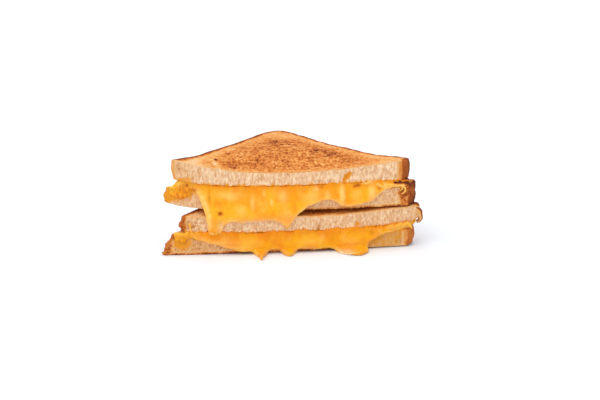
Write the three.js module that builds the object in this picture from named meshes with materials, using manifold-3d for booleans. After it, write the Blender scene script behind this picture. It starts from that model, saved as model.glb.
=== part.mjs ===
// A toasted cheese sandwich, cut from corner to corner, with its two halves
// stacked one on the other and their cut sides to the front.
// Millimetres. +Z is up and -Y is the side of the cut. The origin is on the
// floor, under the middle of the object.
//
// Each half is two three-cornered slices of bread with melted cheese between
// them. Six pieces lie on each other from the floor up: bread, cheese, bread,
// bread, cheese, bread. The cheese runs out of the cut and hangs in front of it.

import * as THREE from "three";
import { mergeVertices } from "three/addons/utils/BufferGeometryUtils.js";
import Module from "manifold-3d";

// ---------------------------------------------------------------- dimensions

const loafCorner = 14; // how far back from its point a corner of the loaf starts to round
const leftWaist = 0.8; // how far the two sides behind are hollow
const rightWaist = 3.6;
const pointRound = 5; // how far the crust goes round to the cut at the right end
const crustSwell = 0.7; // how far the crust bulges out between its two edges
const crustEdge = 0.8; // how far the edges of the crust are rounded down
const contactGap = 0.35; // air between two pieces that lie on each other
const wallGap = 0.5; // air between the hanging cheese and the bread behind it
const cheeseInset = 1.2; // how far the cheese stays inside the crust at the back
const crumbRelief = 0.35; // unevenness of the cut crumb
const leanSpread = 9; // the higher, the nearer to the left end its lean begins
const tearSpread = 20; // the same for the torn crust there

const pressedDepth = 21; // how far behind the cut the knife has pressed the bread down
const halfWidth = 84; // from the middle of the cut to its ends
const curlStart = 38; // the left ends of the slices curl up beyond this distance
const curlLength = 40;
const liftStart = 50; // the right ends lift beyond this distance
const liftLength = 30;

// How the press of the knife fades to the right: "least" is below 0 where the
// bread stands up again past its reach.
const evenPress = { reach: halfWidth, shape: 2, least: 0 };
const shortPress = { reach: 62, shape: 1.2, least: -0.15 };

// Heights of the layer boundaries. "inside" is the height far from the cut,
// "front" the height at the middle of the cut, "left" and "right" what the two
// ends rise by, "tilt" what the right end is lower by than the middle, "back"
// what the far corner is higher by, "uneven" how wavy the toasted face is, and
// "press" how far to the right the knife has pressed the bread down.
const flat = { left: 0, right: 0, tilt: 0, back: 0, uneven: 0, press: evenPress };
const levels = {
  floor: { ...flat, inside: 0, front: 0, right: 0.9 },
  lowerCheeseUnder: { ...flat, inside: 12.3, front: 9.5, left: 2.4, right: 0.8 },
  lowerCheeseOver: { ...flat, inside: 15.8, front: 14.1, left: 0.2, right: 1.5 },
  lowerHalfTop: { ...flat, inside: 28, front: 24.1, left: -1.6, uneven: 0.3 },
  upperHalfUnder: { ...flat, inside: 28.5, front: 27, left: 5.4, uneven: 0.3 },
  upperCheeseUnder: { ...flat, inside: 41.8, front: 37.6, left: 2.2, right: 1.8, back: 0.4 },
  upperCheeseOver: {
    inside: 45.6, front: 43.7, left: 4.8, right: 0.2, tilt: 0.4, back: 0.8, uneven: 0, press: shortPress,
  },
  upperHalfTop: {
    inside: 58.9, front: 52.3, left: 3.4, right: 0.8, tilt: 2.2, back: 1.7, uneven: 0.5, press: shortPress,
  },
};

// Plan of the slices. The cut runs from cutLeft to cutRight with a forward bow.
// At the right the cut misses the corner of the loaf, so the crust goes round
// that corner. farCorner is the square corner behind, before it is rounded.
// "lean" is how far the left end stands in at its top.
const slicePlans = {
  lowerBottom: {
    cutLeft: [-83, 2.5], cutRight: [77.5, -0.5], corner: [84.2, 5], farCorner: [0.5, 88],
    bow: 3, lean: 6, ragged: 1.3,
  },
  lowerTop: {
    cutLeft: [-71.5, 2], cutRight: [80.5, 0.5], corner: [87.8, 4.6], farCorner: [3, 88.5],
    bow: 3.2, lean: 1, ragged: 1.1,
  },
  upperBottom: {
    cutLeft: [-81, 7.5], cutRight: [77.5, -0.5], corner: [84.6, 5.6], farCorner: [1.5, 91],
    bow: 0.3, lean: 1.2, ragged: 0.8,
  },
  upperTop: {
    cutLeft: [-74.5, 6], cutRight: [73, -0.7], corner: [80.2, 4.6], farCorner: [0.7, 89],
    bow: 0.4, lean: -1.8, ragged: 0.3,
  },
};

// Lower edge of the cheese in front of each half, from left to right, as seen
// from the front. Heights below the floor are the length that a drip has run
// forward over the floor.
const upperHem = [
  [-77.5, 39], [-72, 36.8], [-64.5, 38], [-61, 41.2], [-58, 37.2], [-55.3, 32],
  [-53.6, 25], [-52.8, 15.6], [-44.6, 15.4], [-43, 19.4], [-39, 21.4], [-30, 20.6], [-20, 21.6],
  [-10, 21.2], [-5.5, 19.2], [-2.4, 16.9], [0.9, 21.2], [6, 26.8], [16, 31.9], [23, 33.4],
  [28.5, 32.6], [33.5, 29.8], [44, 29.9], [53, 32.4], [58, 36.6], [65, 40.4], [77, 42],
];
const lowerHem = [
  [-75, 9], [-69, 7.5], [-64.5, 11.6], [-57, 9.8], [-50, 8], [-43.5, 5.8], [-36.5, 3.5],
  [-30, 2.4], [-25.5, 1.8], [-22.8, -5], [-20.8, -12.2], [-18, -5], [-14, 1.8], [-8, 1.8],
  [-5, -4], [-2.2, -7], [0.6, -4], [4.4, 2], [17, 1.6], [27.6, 1.4], [30.8, -5.4], [36.8, -10],
  [44.6, -10.4], [49.2, -5.4], [51.2, 4], [56.5, 7.6], [66, 11.2], [78, 13.8],
];
const curtainThickness = 3.2;
const hemThinning = 0.65; // share of the thickness that is lost at the hem
const filmThickness = 1.4; // the cheese is thin where it only coats the left end
const filmEnd = -62; // the coat turns into the curtain here
const lipDepth = 1.2; // how far behind the cut the cheese starts to bend down
const outerBend = 1.6; // height of the round shoulder where the cheese leaves the cut
const innerBend = 0.7; // the same on the side against the bread
const floorBend = 3.4; // height at which a drip turns forward onto the floor
const floorTurn = 1.5; // how far forward it is when it has turned
const floorGap = 0.3; // air between the drips and the floor

// Way of the loose strip of crust at the right end of the lower half, seen from
// the front, and its distance behind the cut.
const curlWay = [[82.6, 25.5], [85.4, 23.4], [86.5, 18.8], [85.5, 15.7], [84, 15.3]];
const curlDepth = 5;
const curlWidth = 6.5;
const curlThickness = 2.2;

const rowCrowding = 1.4; // rows are closer together near the cut, where the bread is pressed

// ------------------------------------------------------------------ surfaces

const { lerp, clamp } = THREE.MathUtils;

// Rises smoothly from 0 where value is from to 1 where value is to.
function fade(from, to, value) {
  const share = clamp((value - from) / (to - from), 0, 1);
  return share * share * (3 - 2 * share);
}

// Slow unevenness of everything baked, between -1 and 1.
function waver(x, y) {
  const broad = Math.sin(x * 0.11 + 1.3) * Math.cos(y * 0.13 - 0.4);
  const fine = Math.sin(x * 0.31 - y * 0.23) * Math.cos(y * 0.37 + 0.8);
  return 0.6 * broad + 0.4 * fine;
}

// Height of a layer boundary at a place of the plan.
function heightOf({ inside, front, left, right, tilt, back, uneven, press }, x, y) {
  const depth = y / pressedDepth;
  const across = x / halfWidth;
  const { reach, shape, least } = x > 0 ? press : evenPress;
  const pressed = Math.exp(-depth * depth) * Math.max(least, 1 - Math.abs(x / reach) ** shape);
  const curl = (Math.max(0, -x - curlStart) / curlLength) ** 2;
  const lift = (Math.max(0, x - liftStart) / liftLength) ** 2;
  const far = Math.max(0, y / halfWidth) ** 2;
  const level = inside + (front - inside) * pressed + left * curl + right * lift;
  return level - tilt * across + back * far + uneven * waver(x, y);
}

// Front line of a slice: straight from end to end, with a forward bow.
function cutLine({ cutLeft, cutRight, bow }, x) {
  const along = (x - cutLeft[0]) / (cutRight[0] - cutLeft[0]);
  const inBow = clamp(along, 0, 1);
  return cutLeft[1] + (cutRight[1] - cutLeft[1]) * along - bow * Math.sin(Math.PI * inBow);
}

function towards(from, to, distance) {
  const step = to.clone().sub(from).setLength(distance);
  return from.clone().add(step);
}

// Control point that hollows a straight side inwards, to the right of its way.
function hollowed(from, to, waist) {
  const across = new THREE.Vector2(to.y - from.y, from.x - to.x).setLength(2 * waist);
  const half = from.clone().lerp(to, 0.5).add(across);
  return [half.x, half.y];
}

// The crust behind a slice, from its left end round the far corner to the right end.
function crustLine({ cutLeft, corner, farCorner }, inset = 0) {
  const leftEnd = new THREE.Vector2(cutLeft[0] + 1 + inset, cutLeft[1] + 3);
  const square = new THREE.Vector2(farCorner[0], farCorner[1] - inset * Math.SQRT2);
  const rightCorner = new THREE.Vector2(corner[0] - inset, corner[1]);
  const rightEnd = towards(rightCorner, square, pointRound);
  const before = towards(square, leftEnd, loafCorner);
  const after = towards(square, rightEnd, loafCorner);
  const line = new THREE.Path();
  line.moveTo(leftEnd.x, leftEnd.y);
  line.quadraticCurveTo(...hollowed(leftEnd, before, leftWaist), before.x, before.y);
  line.quadraticCurveTo(square.x, square.y, after.x, after.y);
  line.quadraticCurveTo(...hollowed(after, rightEnd, rightWaist), rightEnd.x, rightEnd.y);
  return line;
}

// Fills the plan between a front line, a back line and two sides.
function patch(front, back, leftSide, rightSide) {
  return (u, v) => {
    const place = new THREE.Vector2();
    place.addScaledVector(front(u), 1 - v).addScaledVector(back(u), v);
    place.addScaledVector(leftSide(v), 1 - u).addScaledVector(rightSide(v), u);
    place.addScaledVector(front(0), -(1 - u) * (1 - v)).addScaledVector(front(1), -u * (1 - v));
    place.addScaledVector(back(0), -(1 - u) * v).addScaledVector(back(1), -u * v);
    return place;
  };
}

// A box of u, v and w from 0 to 1, moulded into shape: place gives the point
// for each of them.
function moulded(columns, rows, layers, place) {
  const box = new THREE.BoxGeometry(1, 1, 1, columns, rows, layers);
  box.deleteAttribute("normal");
  box.deleteAttribute("uv");
  const solid = mergeVertices(box);
  const corners = solid.attributes.position;
  const point = new THREE.Vector3();
  for (let i = 0; i < corners.count; i += 1) {
    point.fromBufferAttribute(corners, i).addScalar(0.5);
    const moved = place(point.x, point.y, point.z);
    corners.setXYZ(i, moved.x, moved.y, moved.z);
  }
  return solid;
}

// --------------------------------------------------------------------- bread

const breadColumns = 36;
const breadRows = 8;
const breadLayers = 3;

function breadSlice(plan, under, over) {
  const { cutLeft, cutRight, corner, lean, ragged } = plan;
  const crust = crustLine(plan);
  const cut = (u) => {
    const x = lerp(cutLeft[0], cutRight[0], u);
    return new THREE.Vector2(x, cutLine(plan, x));
  };
  const tip = new THREE.LineCurve(cut(0), crust.getPointAt(0));
  const round = new THREE.QuadraticBezierCurve(cut(1), new THREE.Vector2(...corner), crust.getPointAt(1));
  const inPlan = patch(cut, (u) => crust.getPointAt(u), (v) => tip.getPoint(v), (v) => round.getPoint(v));
  const middle = inPlan(0.5, 0.4);

  return moulded(breadColumns, breadRows, breadLayers, (u, v, w) => {
    const inward = v ** rowCrowding;
    const place = inPlan(u, inward);
    const halfway = 4 * w * (1 - w); // 0 at both faces and 1 half way between them
    const atCrust = Math.max(fade(0, 0.1, inward), fade(0.97, 1, u), fade(0.03, 0, u));
    place.add(place.clone().sub(middle).setLength(crustSwell * halfway * atCrust));
    // the left end leans and is torn, and the cut stays on its line
    const before = cutLine(plan, place.x);
    place.x += lean * w * (1 - u) ** leanSpread;
    place.x += ragged * Math.sin(9 * w + 2 * v) * (1 - u) ** tearSpread;
    place.y += cutLine(plan, place.x) - before;
    place.y += crumbRelief * (1 + Math.sin(place.x / 3 + 3 * w)) * halfway * fade(0.05, 0, v);
    const level = lerp(heightOf(under, place.x, place.y), heightOf(over, place.x, place.y), w);
    const onEdge = u === 0 || u === 1 || v === 1 ? 1 : 0;
    return new THREE.Vector3(place.x, place.y, level + crustEdge * onEdge * (1 - 2 * w));
  });
}

// -------------------------------------------------------------------- cheese

const cheeseColumns = 56;
const sheetRows = 6; // rows between the slices
const shoulderRows = 3; // rows that bend down over the cut
const hangingRows = 5; // rows down to the hem
const cheeseRows = sheetRows + shoulderRows + hangingRows;

// Front of the bread that the cheese hangs before, at a height. From the slice
// that it lies on it goes over to the half below between two heights.
function wallBehind(own, below, [low, high], x, z) {
  const ownFront = cutLine(own, x);
  const furthest = Math.min(ownFront, cutLine(below, x));
  return lerp(furthest, ownFront, fade(low, high, z));
}

// A drip that has come down to the floor turns forward over it. "past" is how
// far along it is beyond the start of the turn.
function overFloor(x, y, past, thickness) {
  const turned = Math.min(1, past / floorBend);
  const run = Math.max(0, past - floorBend);
  const z = lerp(floorBend, floorGap + thickness, Math.sin((turned * Math.PI) / 2));
  return new THREE.Vector3(x, y - floorTurn * turned ** 2 - run, z);
}

// One sheet of melted cheese. own is the slice that it lies on, roof the one
// over it, and below the one that it hangs down to. The side that is seen is
// draped more gently than the side against the bread. In the functions below,
// outer is 1 on the side that is seen and 0 on the other.
function meltedCheese({ hem, own, roof, below, ledge, drape, under, over }) {
  const hemPoints = hem.map(([x, z]) => new THREE.Vector3(x, 0, z));
  const hemLine = new THREE.CatmullRomCurve3(hemPoints, false, "centripetal");
  const lip = (u) => {
    const { x } = hemLine.getPointAt(u);
    return new THREE.Vector2(x, Math.max(cutLine(own, x), cutLine(roof, x)) + lipDepth);
  };
  const rim = crustLine(roof, cheeseInset);
  const left = new THREE.LineCurve(lip(0), rim.getPointAt(0));
  const right = new THREE.LineCurve(lip(1), rim.getPointAt(1));
  const inPlan = patch(lip, (u) => rim.getPointAt(u), (v) => left.getPoint(v), (v) => right.getPoint(v));

  const sheet = (u, outer, v) => {
    const { x, y } = inPlan(u, v ** rowCrowding);
    const bottom = heightOf(under, x, y) + contactGap;
    const covered = fade(roof.cutLeft[0] - 2, roof.cutLeft[0] + 5, x);
    const top = lerp(bottom + filmThickness, heightOf(over, x, y) - contactGap, covered);
    return new THREE.Vector3(x, y, lerp(bottom, top, outer));
  };
  const column = (u, outer) => {
    const start = sheet(u, outer, 0);
    const hang = hemLine.getPointAt(u).z;
    const fullness = fade(filmEnd - 3, filmEnd + 5, start.x);
    const thickness = outer * lerp(filmThickness, curtainThickness, fullness);
    const bend = outer ? Math.min(outerBend, start.z - hang - 1) : innerBend;
    const step = outer ? drape : ledge;
    const wallAt = (z) => wallBehind(own, below, step, start.x, z) - wallGap - thickness;
    return { start, hang, thickness, bend, wallAt };
  };
  const shoulder = (u, outer, share) => {
    const { start, bend, wallAt } = column(u, outer);
    const turn = (share * Math.PI) / 2;
    const y = lerp(start.y, wallAt(start.z - bend), Math.sin(turn));
    return new THREE.Vector3(start.x, y, start.z - bend * (1 - Math.cos(turn)));
  };
  const curtain = (u, outer, share) => {
    const { start, hang, thickness, bend, wallAt } = column(u, outer);
    const z = lerp(start.z - bend, hang, share);
    const thinned = thickness * hemThinning * fade(0.7, 1, share);
    const y = wallAt(Math.max(z, 0)) + thinned;
    const past = floorBend - z;
    return hang < 0 && past > 0
      ? overFloor(start.x, y, past, thickness - thinned)
      : new THREE.Vector3(start.x, y, Math.max(z, floorGap));
  };

  return moulded(cheeseColumns, 1, cheeseRows, (u, outer, w) => {
    const row = Math.round(w * cheeseRows);
    if (row <= sheetRows) {
      return sheet(u, outer, 1 - row / sheetRows);
    }
    if (row <= sheetRows + shoulderRows) {
      return shoulder(u, outer, (row - sheetRows) / shoulderRows);
    }
    return curtain(u, outer, (row - sheetRows - shoulderRows) / hangingRows);
  });
}

// -------------------------------------------------------------- loose crust

// A strip of crust that has come away from the right end of the lower half's
// top slice and curls down in front of it.
function curledCrust() {
  const way = curlWay.map(([x, z]) => new THREE.Vector3(x, curlDepth, z));
  const width = curlWidth / 2;
  const thickness = curlThickness / 2;
  const section = new THREE.Shape();
  section.moveTo(-width, -thickness);
  section.lineTo(width, -thickness);
  section.lineTo(width, thickness);
  section.lineTo(-width, thickness);
  const extrudePath = new THREE.CatmullRomCurve3(way);
  return new THREE.ExtrudeGeometry(section, { steps: 12, extrudePath, bevelEnabled: false });
}

// ------------------------------------------------------------------- joining

const wasm = await Module();
wasm.setup();

function toManifold(geometry) {
  const bare = geometry.clone();
  bare.deleteAttribute("normal");
  bare.deleteAttribute("uv");
  const merged = mergeVertices(bare, 1e-4);
  return new wasm.Manifold(new wasm.Mesh({
    numProp: 3,
    vertProperties: new Float32Array(merged.attributes.position.array),
    triVerts: new Uint32Array(merged.index.array),
  }));
}

function toGeometry(manifold) {
  const { vertProperties, triVerts } = manifold.getMesh();
  const geometry = new THREE.BufferGeometry();
  geometry.setAttribute("position", new THREE.BufferAttribute(vertProperties, 3));
  geometry.setIndex(new THREE.BufferAttribute(triVerts, 1));
  return geometry;
}

function joined(first, second) {
  return toGeometry(toManifold(first).add(toManifold(second)));
}

// ------------------------------------------------------------------- assembly

const toastedBread = { color: 0xc98a4b, roughness: 0.85, metalness: 0 };
const meltedCheddar = { color: 0xf5a623, roughness: 0.35, metalness: 0 };

const sandwich = new THREE.Group();

function addPiece(name, geometry, surface) {
  const piece = new THREE.Mesh(geometry, new THREE.MeshStandardMaterial(surface));
  piece.name = name;
  sandwich.add(piece);
}

const { lowerBottom, lowerTop, upperBottom, upperTop } = slicePlans;

addPiece(
  "lower_bottom_bread",
  breadSlice(lowerBottom, levels.floor, levels.lowerCheeseUnder),
  toastedBread,
);
addPiece(
  "lower_cheese",
  meltedCheese({
    hem: lowerHem, own: lowerBottom, roof: lowerTop, below: lowerBottom, ledge: [0, 1], drape: [0, 1],
    under: levels.lowerCheeseUnder, over: levels.lowerCheeseOver,
  }),
  meltedCheddar,
);
addPiece(
  "lower_top_bread",
  joined(breadSlice(lowerTop, levels.lowerCheeseOver, levels.lowerHalfTop), curledCrust()),
  toastedBread,
);
addPiece(
  "upper_bottom_bread",
  breadSlice(upperBottom, levels.upperHalfUnder, levels.upperCheeseUnder),
  toastedBread,
);
addPiece(
  "upper_cheese",
  meltedCheese({
    hem: upperHem, own: upperBottom, roof: upperTop, below: lowerTop, ledge: [29.2, 33.7], drape: [23, 41],
    under: levels.upperCheeseUnder, over: levels.upperCheeseOver,
  }),
  meltedCheddar,
);
addPiece(
  "upper_top_bread",
  breadSlice(upperTop, levels.upperCheeseOver, levels.upperHalfTop),
  toastedBread,
);

// stand the sandwich on the floor with its middle over the origin
const extent = new THREE.Box3().setFromObject(sandwich);
const centre = extent.getCenter(new THREE.Vector3());
sandwich.position.set(-centre.x, -centre.y, -extent.min.z);

export default sandwich;
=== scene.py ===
"""A toasted cheese sandwich, cut from corner to corner, its two halves stacked cut side forward.

The pieces are shaped in millimetres around the middle of the cut, on the floor: +X along the cut
to the right, +Y away from it towards the far corner, +Z up. They go out in metres, where the
frame has them.
"""

import itertools
import math
from types import SimpleNamespace
from typing import NamedTuple

import bpy
import numpy as np
from mathutils import Matrix, Vector, kdtree, noise


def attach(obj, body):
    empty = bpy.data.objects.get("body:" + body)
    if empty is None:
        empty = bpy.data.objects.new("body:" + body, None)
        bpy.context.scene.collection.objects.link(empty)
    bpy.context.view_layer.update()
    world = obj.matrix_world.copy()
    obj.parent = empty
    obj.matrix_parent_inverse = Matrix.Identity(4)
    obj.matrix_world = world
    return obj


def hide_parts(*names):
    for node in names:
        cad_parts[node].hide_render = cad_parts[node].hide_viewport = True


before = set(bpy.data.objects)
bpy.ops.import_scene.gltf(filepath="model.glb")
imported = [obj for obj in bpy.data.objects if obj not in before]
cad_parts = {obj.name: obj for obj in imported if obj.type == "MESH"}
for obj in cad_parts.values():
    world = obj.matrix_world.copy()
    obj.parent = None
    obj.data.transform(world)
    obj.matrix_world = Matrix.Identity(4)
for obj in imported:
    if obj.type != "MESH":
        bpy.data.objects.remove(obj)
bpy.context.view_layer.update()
noise.seed_set(1)  # without a seed the crumb comes out a little different each time

MM = 0.001
CUT_MIDDLE = np.array([-2.298, -35.486, 0.0])  # the middle of the cut, in the frame


# ------------------------------------------------------------------- dimensions

class Press(NamedTuple):
    """How the press of the knife fades to the right of the middle."""

    reach: float
    shape: float
    least: float  # below 0 where the bread stands up again past its reach


HALF_WIDTH = 84
EVEN_PRESS = Press(HALF_WIDTH, 2, 0)
SHORT_PRESS = Press(62, 1.2, -0.15)


class Level(NamedTuple):
    """Height of a boundary between two layers: far inside, and what changes it elsewhere."""

    inside: float
    front: float  # height at the middle of the cut, where the knife has pressed the bread down
    left: float = 0  # what the two ends rise by
    right: float = 0
    tilt: float = 0  # what the right end is lower by than the middle
    back: float = 0  # what the far corner is higher by
    uneven: float = 0  # how wavy the griddled face is
    press: Press = EVEN_PRESS


FLOOR = Level(0, 0, right=0.9)
LOWER_CHEESE_UNDER = Level(12.3, 9.5, 2.4, 0.8)
LOWER_CHEESE_OVER = Level(15.8, 14.1, 0.2, 1.5)
LOWER_HALF_TOP = Level(28, 24.1, -1.6, uneven=0.3)
UPPER_HALF_UNDER = Level(28.5, 27, 5.4, uneven=0.3)
UPPER_CHEESE_UNDER = Level(41.8, 37.6, 2.2, 1.8, back=0.4)
UPPER_CHEESE_OVER = Level(45.6, 43.7, 4.8, 0.2, 0.4, 0.8, press=SHORT_PRESS)
UPPER_HALF_TOP = Level(58.9, 52.3, 3.4, 0.8, 2.2, 1.7, 0.5, SHORT_PRESS)


class Slice(NamedTuple):
    """Plan of a slice: the cut with its forward bow, and the corners of the loaf."""

    cut_left: tuple
    cut_right: tuple
    corner: tuple
    far_corner: tuple
    bow: float
    lean: float  # how far the left end stands in at its top
    ragged: float


LOWER_BOTTOM = Slice((-83, 2.5), (77.5, -0.5), (84.2, 5), (0.5, 88), 3, 6, 1.3)
LOWER_TOP = Slice((-71.5, 2), (80.5, 0.5), (87.8, 4.6), (3, 88.5), 3.2, 1, 1.1)
UPPER_BOTTOM = Slice((-81, 7.5), (77.5, -0.5), (84.6, 5.6), (1.5, 91), 0.3, 1.5, 0.8)
UPPER_TOP = Slice((-74.5, 6), (73, -0.7), (80.2, 4.6), (0.7, 89), 0.4, -0.9, 0.3)

LOAF_CORNER = 14
LEFT_WAIST = 0.8
RIGHT_WAIST = 3.6
POINT_ROUND = 5  # how far the crust goes round to the cut at the right end
CRUST_SWELL = 0.7
CRUST_EDGE = 0.8
CRUST_ROUND = 1.2  # how far in from the crust its edges are rounded
CHEESE_INSET = 1.2
LEAN_SPREAD = 9
TEAR_SPREAD = 20
PRESSED_DEPTH = 21
CURL_START = 38
CURL_LENGTH = 40
LIFT_START = 50
LIFT_LENGTH = 30

# lower edge of the cheese in front of each half, as (x, z); below 0 it runs forward on the floor
UPPER_HEM = [
    (-77.5, 39), (-72, 36.8), (-64.5, 38), (-61, 41.2), (-58, 37.2), (-55.3, 32),
    (-53.6, 25), (-52.8, 15.6), (-44.6, 15.4), (-43, 19.4), (-39, 21.4), (-30, 20.6), (-20, 21.6),
    (-10, 21.2), (-5.5, 19.2), (-2.4, 16.9), (0.9, 21.2), (6, 26.8), (16, 31.9), (23, 33.4),
    (28.5, 32.6), (33.5, 29.8), (44, 29.9), (53, 32.4), (58, 36.6), (65, 40.4), (77, 42),
]
LOWER_HEM = [
    (-75, 9), (-69, 7.5), (-64.5, 11.2), (-57, 9), (-50, 7), (-43.5, 4.7), (-36.5, 2.6),
    (-30, 1.6), (-25.5, 1.2), (-22.8, -5), (-20.8, -12.2), (-18, -5), (-14, 1.8), (-8, 1.8),
    (-5, -4), (-2.2, -7), (0.6, -4), (4.4, 2), (17, 1.6), (27.6, 1.4), (30.8, -5.4), (36.8, -10),
    (44.6, -10.4), (49.2, -5.4), (51.2, 4), (56.5, 7.6), (66, 11.2), (78, 13.8),
]
CURTAIN_THICKNESS = 3.2
FILM_THICKNESS = 1.4
FILM_END = -62
LIP_DEPTH = 1.2
OUTER_BEND = 1.6
INNER_BEND = 0.7
FLOOR_BEND = 3.4
FLOOR_TURN = 1.5
FLOOR_GAP = 0.3
CLING = 0.4  # how deep the melted cheese sits in the open crumb behind it


# --------------------------------------------------------------------- measures

def lerp(start, end, share):
    return start + (end - start) * share


def fade(start, end, value):
    """Rises smoothly from 0 where value is start to 1 where value is end."""
    share = np.clip((value - start) / (end - start), 0, 1)
    return share * share * (3 - 2 * share)


def bump_at(value, centre, width):
    return np.exp(-(((value - centre) / width) ** 2))


def waver(x, y):
    broad = np.sin(x * 0.11 + 1.3) * np.cos(y * 0.13 - 0.4)
    fine = np.sin(x * 0.31 - y * 0.23) * np.cos(y * 0.37 + 0.8)
    return 0.6 * broad + 0.4 * fine


def height_of(level, x, y):
    across = x / HALF_WIDTH
    to_right = np.maximum(level.press.least, 1 - np.abs(x / level.press.reach) ** level.press.shape)
    to_left = np.maximum(0, 1 - across**2)
    pressed = np.exp(-((y / PRESSED_DEPTH) ** 2)) * np.where(x > 0, to_right, to_left)
    curl = (np.maximum(0, -x - CURL_START) / CURL_LENGTH) ** 2
    lift = (np.maximum(0, x - LIFT_START) / LIFT_LENGTH) ** 2
    far = np.maximum(0, y / HALF_WIDTH) ** 2
    flat = level.inside + (level.front - level.inside) * pressed
    ends = level.left * curl + level.right * lift - level.tilt * across
    return flat + ends + level.back * far + level.uneven * waver(x, y)


def cut_line(plan, x):
    along = (x - plan.cut_left[0]) / (plan.cut_right[0] - plan.cut_left[0])
    straight = lerp(plan.cut_left[1], plan.cut_right[1], along)
    return straight - plan.bow * np.sin(math.pi * np.clip(along, 0, 1))


def towards(start, end, distance):
    step = end - start
    return start + step * distance / np.linalg.norm(step)


def arc(start, control, end, steps=80):
    share = np.linspace(0, 1, steps)[:, None]
    return (1 - share) ** 2 * start + 2 * share * (1 - share) * control + share**2 * end


def hollowed(start, end, waist):
    across = np.array([end[1] - start[1], start[0] - end[0]])
    return (start + end) / 2 + across * 2 * waist / np.linalg.norm(across)


def crust_line(plan, inset=0.0):
    """The crust behind a slice, from its left end round the far corner to its right end."""
    left_end = np.array([plan.cut_left[0] + 1 + inset, plan.cut_left[1] + 3])
    square = np.array([plan.far_corner[0], plan.far_corner[1] - inset * math.sqrt(2)])
    right_corner = np.array([plan.corner[0] - inset, plan.corner[1]])
    right_end = towards(right_corner, square, POINT_ROUND)
    before = towards(square, left_end, LOAF_CORNER)
    after = towards(square, right_end, LOAF_CORNER)
    return np.vstack([
        arc(left_end, hollowed(left_end, before, LEFT_WAIST), before),
        arc(before, square, after)[1:],
        arc(after, hollowed(after, right_end, RIGHT_WAIST), right_end)[1:],
    ])


def along_line(line, share):
    """Points of a line at shares of its length."""
    steps = np.linalg.norm(np.diff(line, axis=0), axis=1)
    reached = np.concatenate([[0], np.cumsum(steps)]) / steps.sum()
    return np.stack([np.interp(share, reached, values) for values in line.T], -1)


def spline(points, steps=14):
    """A smooth line through points, which keeps from overshooting between uneven ones."""
    points = np.array(points, float)
    ends = 2 * points[[0, -1]] - points[[1, -2]]
    p = np.vstack([ends[:1], points, ends[1:]])
    knots = np.sqrt(np.linalg.norm(np.diff(p, axis=0), axis=1))
    t = np.linspace(0, 1, steps, endpoint=False)[:, None]
    spans = []
    for i in range(1, len(p) - 2):
        d0, d1, d2 = knots[i - 1 : i + 2]
        before, start, end, after = p[i - 1 : i + 3]
        leaving = ((start - before) / d0 - (end - before) / (d0 + d1) + (end - start) / d1) * d1
        arriving = ((end - start) / d1 - (after - start) / (d1 + d2) + (after - end) / d2) * d1
        spans.append(
            (2 * t**3 - 3 * t**2 + 1) * start + (t**3 - 2 * t**2 + t) * leaving
            + (3 * t**2 - 2 * t**3) * end + (t**3 - t**2) * arriving
        )
    return np.vstack(spans + [points[-1:]])


def patch(front, back, left, right):
    """Fills the plan between a front line, a back line and two sides."""

    def place(u, v):
        u_, v_ = u[:, None], v[:, None]
        ruled = front(u) * (1 - v_) + back(u) * v_ + left(v) * (1 - u_) + right(v) * u_
        zero, one = np.zeros(1), np.ones(1)
        near = front(zero) * (1 - u_) + front(one) * u_
        far = back(zero) * (1 - u_) + back(one) * u_
        return ruled - near * (1 - v_) - far * v_

    return place


def line_through(line):
    return lambda share: along_line(line, share)


def crowded(share):
    """Moves shares towards 0 and 1, which makes the cells finer at the cut and at the crust."""
    return lerp(share, fade(0, 1, share), 0.75)


def outward(in_plan, places):
    """Directions from about the middle of a plan to places in it."""
    away = places - in_plan(np.array([0.5]), np.array([0.4]))
    return away / np.linalg.norm(away, axis=1)[:, None]


def tree_of(places):
    """Places sorted so that the nearest of them is quick to find."""
    tree = kdtree.KDTree(len(places))
    for index, place in enumerate(places.tolist()):
        tree.insert(place, index)
    tree.balance()
    return tree


def distance_to(line, places, steps=1200):
    """How far places in a plane are from the nearest point of a line in it."""
    points = along_line(line, np.linspace(0, 1, steps))
    tree = tree_of(np.pad(points, ((0, 0), (0, 1))))
    return np.array([tree.find((*place, 0))[2] for place in places.tolist()])


def grain(places, size, offset=0.0):
    """Smooth noise of that size, about -1 to 1."""
    return np.array([noise.noise(place) for place in (places / size + offset).tolist()])


# ----------------------------------------------------------------------- meshes

def skin(cells):
    """Corners on the skin of a box of cells, from 0 to 1 each way, and the quads between them."""
    quads = []
    for axis, end in itertools.product(range(3), (0, 1)):
        first, second = [other for other in range(3) if other != axis]
        i, j = np.meshgrid(np.arange(cells[first]), np.arange(cells[second]), indexing="ij")
        round_the_cell = [(0, 0), (1, 0), (1, 1), (0, 1)]
        if (axis == 1) != (end == 0):
            round_the_cell.reverse()
        quad = np.zeros(i.shape + (4, 3), np.int64)
        quad[..., axis] = end * cells[axis]
        for corner, (step_i, step_j) in enumerate(round_the_cell):
            quad[..., corner, first] = i + step_i
            quad[..., corner, second] = j + step_j
        quads.append(quad.reshape(-1, 3))
    room = max(cells) + 1
    keys, where = np.unique(np.concatenate(quads) @ [1, room, room**2], return_inverse=True)
    corners = np.stack([keys % room, keys // room % room, keys // room**2], -1)
    return corners / np.array(cells), where.reshape(-1, 4).tolist()


def new_piece(name, places, faces):
    """A smooth mesh object; places are millimetres from the middle of the cut."""
    mesh = bpy.data.meshes.new(name)
    mesh.from_pydata(((places + CUT_MIDDLE) * MM).tolist(), [], faces)
    mesh.validate()
    mesh.shade_smooth()
    piece = bpy.data.objects.new(name, mesh)
    bpy.context.scene.collection.objects.link(piece)
    return piece


def places_of(piece):
    flat = np.empty(len(piece.data.vertices) * 3, np.float32)
    piece.data.vertices.foreach_get("co", flat)
    return flat.reshape(-1, 3).astype(float) / MM - CUT_MIDDLE


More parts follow.
